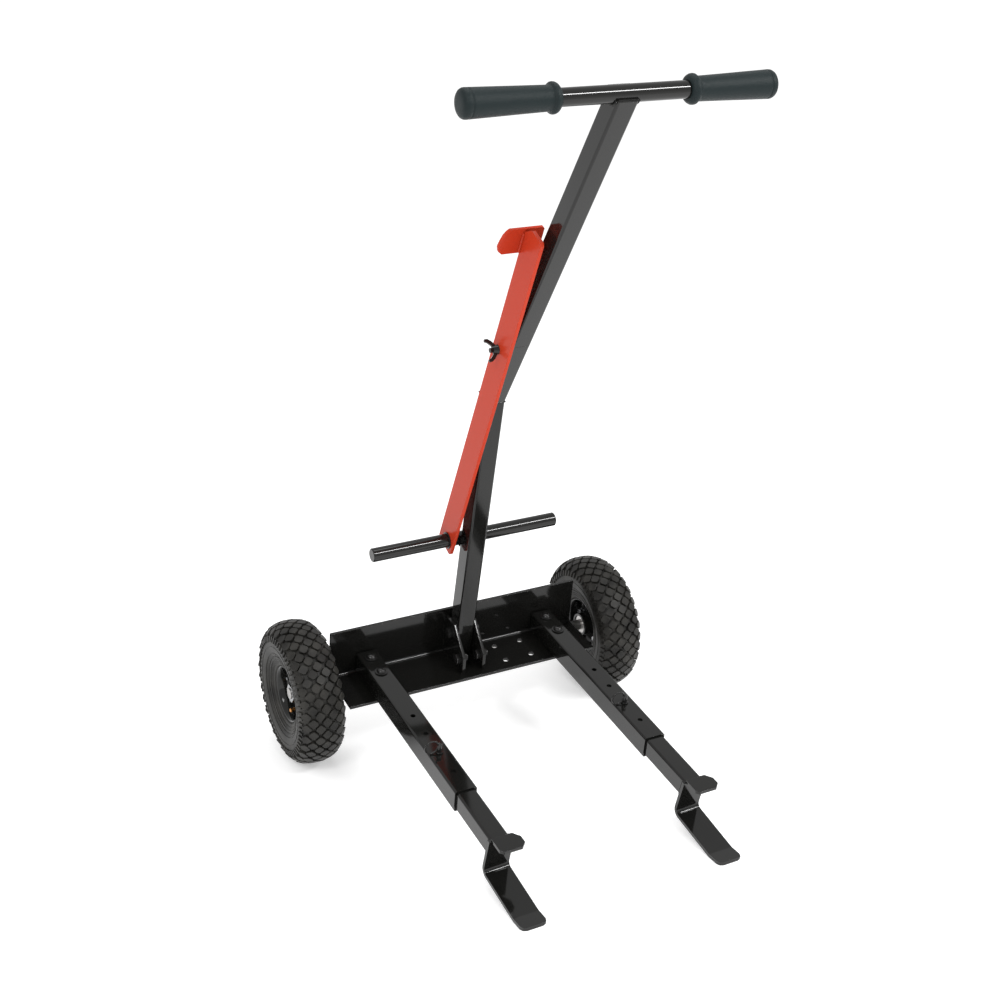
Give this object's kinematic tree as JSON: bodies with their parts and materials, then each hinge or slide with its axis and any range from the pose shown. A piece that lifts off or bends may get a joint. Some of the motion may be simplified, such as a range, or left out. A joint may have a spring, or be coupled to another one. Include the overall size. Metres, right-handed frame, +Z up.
{
  "type": "lever lifting dolly",
  "caption": "Wheeled lever dolly with telescoping forks ending in open hook jaws, a T-handle with rubber grips, a cross bar and a fold-down prop leg",
  "frame": {"origin": "middle of the bounding box in X and Y, on the floor", "axes": "+X to the right as seen from the front, the side the forks point to; -Y the way the forks point; +Z up"},
  "size_m": [0.696, 0.7752, 1.2326],
  "materials": {
    "black_paint": "glossy black enamel",
    "red_paint": "semi-gloss orange-red enamel",
    "grip_rubber": "matt dark grey-green rubber, finely textured",
    "tyre_rubber": "matt dark grey rubber",
    "tube_rubber": "smooth black butyl",
    "zinc_plate": "bright zinc plate",
    "black_steel": "blackened steel with worn glints",
    "bare_steel": "turned steel"
  },
  "bodies": {
    "chassis": {"axle": "bare_steel", "axle_nut_left": "zinc_plate", "axle_nut_right": "zinc_plate", "base_angle": "black_paint", "bracket_bolt_left": "black_steel", "bracket_bolt_right": "black_steel", "bracket_nut_left": "black_steel", "bracket_nut_right": "black_steel", "cross_bar": "black_paint", "fork_bolt_left_front": "black_steel", "fork_bolt_left_rear": "black_steel", "fork_bolt_right_front": "black_steel", "fork_bolt_right_rear": "black_steel", "fork_nut_left_front": "black_steel", "fork_nut_left_rear": "black_steel", "fork_nut_right_front": "black_steel", "fork_nut_right_rear": "black_steel", "fork_outer_left": "black_paint", "fork_outer_right": "black_paint", "grip_left": "grip_rubber", "grip_right": "grip_rubber", "gusset_left": "black_paint", "gusset_right": "black_paint", "handle_stem": "black_paint", "handlebar": "black_paint", "leg_retainer_inner": "black_paint", "leg_retainer_outer": "black_paint", "splice_insert": "bare_steel", "upright_bolt": "black_steel", "upright_lower": "black_paint", "upright_nut": "black_steel", "upright_upper": "black_paint"},
    "wheel_left": {"tyre_left": "tyre_rubber", "inner_tube_left": "tube_rubber", "rim_outer_left": "black_paint", "rim_inner_left": "black_paint", "hub_left": "black_paint", "bearing_outer_left": "bare_steel", "bearing_inner_left": "bare_steel"},
    "fork_left": {"fork_inner_left": "black_paint", "hook_strap_left": "black_paint", "hook_tab_left": "black_paint"},
    "pin_left": {"hitch_pin_left": "black_steel"},
    "wheel_right": {"tyre_right": "tyre_rubber", "inner_tube_right": "tube_rubber", "rim_outer_right": "black_paint", "rim_inner_right": "black_paint", "hub_right": "black_paint", "bearing_outer_right": "bare_steel", "bearing_inner_right": "bare_steel"},
    "fork_right": {"fork_inner_right": "black_paint", "hook_strap_right": "black_paint", "hook_tab_right": "black_paint"},
    "pin_right": {"hitch_pin_right": "black_steel"},
    "leg": {"prop_leg": "red_paint", "foot_plate": "red_paint", "clamp_nut": "red_paint"},
    "clamp_screw": {"wing_screw": "black_paint"}
  },
  "joints": [
    {"name": "wheel_left_spin", "type": "hinge", "parent": "chassis", "child": "wheel_left", "pos_m": [-0.305, 0.25661, 0.131], "axis": [1, 0, 0], "continuous": true},
    {"name": "wheel_right_spin", "type": "hinge", "parent": "chassis", "child": "wheel_right", "pos_m": [0.305, 0.25661, 0.131], "axis": [1, 0, 0], "continuous": true},
    {"name": "fork_left_slide", "type": "slide", "parent": "chassis", "child": "fork_left", "axis": [0, -0.9863, -0.165], "range_m": [-0.1052, 0.0526]},
    {"name": "fork_right_slide", "type": "slide", "parent": "chassis", "child": "fork_right", "axis": [0, -0.9863, -0.165], "range_m": [-0.1052, 0.0526]},
    {"name": "hitch_pin_left_lift", "type": "slide", "parent": "chassis", "child": "pin_left", "axis": [0, -0.165, 0.9863], "range_m": [0, 0.06]},
    {"name": "hitch_pin_right_lift", "type": "slide", "parent": "chassis", "child": "pin_right", "axis": [0, -0.165, 0.9863], "range_m": [0, 0.06]},
    {"name": "leg_swing", "type": "hinge", "parent": "chassis", "child": "leg", "pos_m": [-0.0324, 0.20038, 0.3923], "axis": [-1, 0, 0], "range_deg": [0, 145]},
    {"name": "wing_screw_turn", "type": "hinge", "parent": "leg", "child": "clamp_screw", "pos_m": [-0.035, 0.00434, 0.79201], "axis": [1, 0, 0], "continuous": true}
  ]
}
